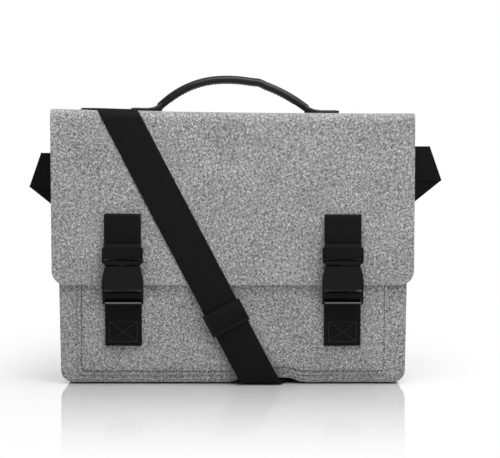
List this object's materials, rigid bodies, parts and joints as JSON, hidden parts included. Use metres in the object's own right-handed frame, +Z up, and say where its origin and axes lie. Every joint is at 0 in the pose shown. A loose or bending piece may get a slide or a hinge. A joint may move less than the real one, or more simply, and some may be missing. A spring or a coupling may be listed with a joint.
{
  "type": "messenger bag",
  "caption": "Felt laptop messenger bag with a folded flap, side-release buckles, a leather carry handle and a webbing shoulder strap wrapped round it.",
  "frame": {"origin": "middle of the footprint, on the surface the bag stands on", "axes": "+X to the right seen from the front, -Y towards the front, +Z up"},
  "size_m": [0.452, 0.1025, 0.327],
  "materials": {
    "felt": "heathered wool felt, matt",
    "lining_felt": "thinner felt, matt",
    "webbing": "woven webbing, dull sheen",
    "buckle_plastic": "moulded acetal, satin",
    "handle_leather": "smooth leather, satin",
    "board": "plain"
  },
  "bodies": {
    "bag": {"back_panel": "felt", "front_panel": "felt", "gusset_left": "felt", "gusset_right": "felt", "base_panel": "felt", "base_board": "board", "laptop_divider": "lining_felt", "front_pocket": "felt", "lower_webbing_left": "webbing", "lower_webbing_right": "webbing", "socket_left": "buckle_plastic", "socket_right": "buckle_plastic", "side_tab_left": "webbing", "side_tab_right": "webbing", "strap_behind_left": "webbing", "strap_under_bag": "webbing", "strap_return": "webbing"},
    "flap": {"flap": "felt", "upper_webbing_left": "webbing", "upper_webbing_right": "webbing", "handle_tab_left": "handle_leather", "handle_tab_right": "handle_leather", "strap_over_flap": "webbing"},
    "handle": {"handle_grip": "handle_leather"},
    "plug_left": {"plug_left": "buckle_plastic"},
    "plug_right": {"plug_right": "buckle_plastic"},
    "arm_left_inner": {"release_arm_left_inner": "buckle_plastic"},
    "arm_left_outer": {"release_arm_left_outer": "buckle_plastic"},
    "arm_right_inner": {"release_arm_right_inner": "buckle_plastic"},
    "arm_right_outer": {"release_arm_right_outer": "buckle_plastic"},
    "slider": {"slider_frame": "buckle_plastic", "slider_loop": "webbing"}
  },
  "joints": [
    {"name": "flap_hinge", "type": "hinge", "parent": "bag", "child": "flap", "pos_m": [0, 0.04, 0.2835], "axis": [-1, 0, 0], "range_deg": [0, 110]},
    {"name": "handle_swing", "type": "hinge", "parent": "flap", "child": "handle", "pos_m": [0, 0, 0.2927], "axis": [1, 0, 0], "range_deg": [-65, 65], "stiffness_Nm_per_rad": 0.03},
    {"name": "slider_slide", "type": "slide", "parent": "flap", "child": "slider", "axis": [-0.4617, 0, 0.887], "range_m": [-0.03, 0.15]},
    {"name": "buckle_left_release", "type": "slide", "parent": "flap", "child": "plug_left", "axis": [0, 0, 1], "range_m": [0, 0.02], "deforming": ["upper_webbing_left"]},
    {"name": "press_left_inner", "type": "hinge", "parent": "plug_left", "child": "arm_left_inner", "pos_m": [-0.1035, -0.0537, 0.1272], "axis": [0, 1, 0], "range_deg": [0, 10], "stiffness_Nm_per_rad": 0.2},
    {"name": "press_left_outer", "type": "hinge", "parent": "plug_left", "child": "arm_left_outer", "pos_m": [-0.1265, -0.0537, 0.1272], "axis": [0, -1, 0], "range_deg": [0, 10], "stiffness_Nm_per_rad": 0.2},
    {"name": "buckle_right_release", "type": "slide", "parent": "flap", "child": "plug_right", "axis": [0, 0, 1], "range_m": [0, 0.02], "deforming": ["upper_webbing_right"]},
    {"name": "press_right_inner", "type": "hinge", "parent": "plug_right", "child": "arm_right_inner", "pos_m": [0.1035, -0.0537, 0.1272], "axis": [0, -1, 0], "range_deg": [0, 10], "stiffness_Nm_per_rad": 0.2},
    {"name": "press_right_outer", "type": "hinge", "parent": "plug_right", "child": "arm_right_outer", "pos_m": [0.1265, -0.0537, 0.1272], "axis": [0, 1, 0], "range_deg": [0, 10], "stiffness_Nm_per_rad": 0.2}
  ],
  "couplings": [
    {"joint": "press_left_inner", "follows": "press_left_outer", "ratio": 1},
    {"joint": "press_right_inner", "follows": "press_right_outer", "ratio": 1}
  ]
}
